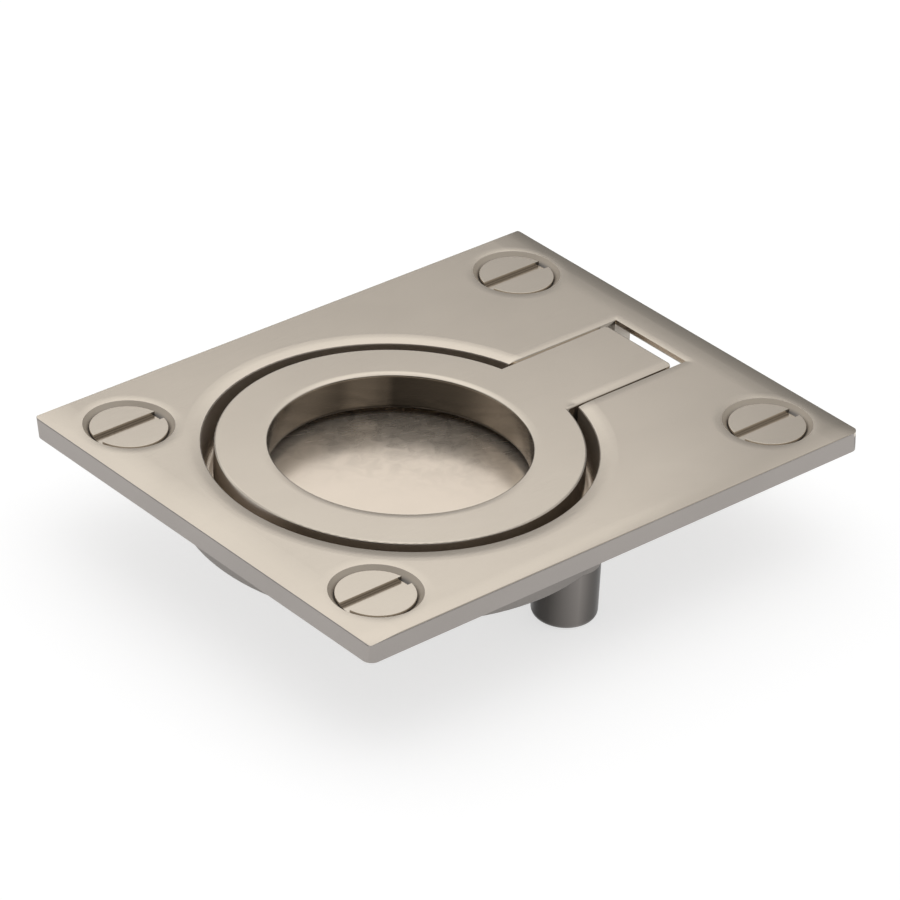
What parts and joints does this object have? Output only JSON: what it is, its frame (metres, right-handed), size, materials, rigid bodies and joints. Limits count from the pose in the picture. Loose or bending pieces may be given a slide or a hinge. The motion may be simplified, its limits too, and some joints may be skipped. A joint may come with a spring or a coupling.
{
  "type": "flush ring pull",
  "caption": "Flush ring pull: a rolled-edge plate with a shallow round cup let in behind it, and a flat ring that lies level in the plate and lifts on a pin at the end of its neck.",
  "frame": {"origin": "centre of the plate's outline on its back face, the face that lies on the door", "axes": "+Z out of the face that shows, +X along the plate's length towards the hinge end, +Y across its width"},
  "size_m": [0.0636, 0.0508, 0.013],
  "materials": {
    "plate_nickel": "satin nickel plate over cast brass, brushed along its length",
    "ring_nickel": "satin nickel plate over cast brass",
    "screw_nickel": "satin nickel plate over turned brass",
    "post_nickel": "turned brass, thinly nickel plated, unbrushed",
    "pin_steel": "drawn steel pin"
  },
  "bodies": {
    "housing": {"backplate": "plate_nickel", "pivot_pin": "pin_steel", "fixing_post_left": "post_nickel", "fixing_post_right": "post_nickel", "screw_hinge_left": "screw_nickel", "screw_hinge_right": "screw_nickel", "screw_ring_left": "screw_nickel", "screw_ring_right": "screw_nickel"},
    "ring": {"ring_handle": "ring_nickel"}
  },
  "joints": [
    {"name": "ring_lift", "type": "hinge", "parent": "housing", "child": "ring", "pos_m": [0.0228, 0, -0.001], "axis": [0, 1, 0], "range_deg": [0, 100]}
  ]
}
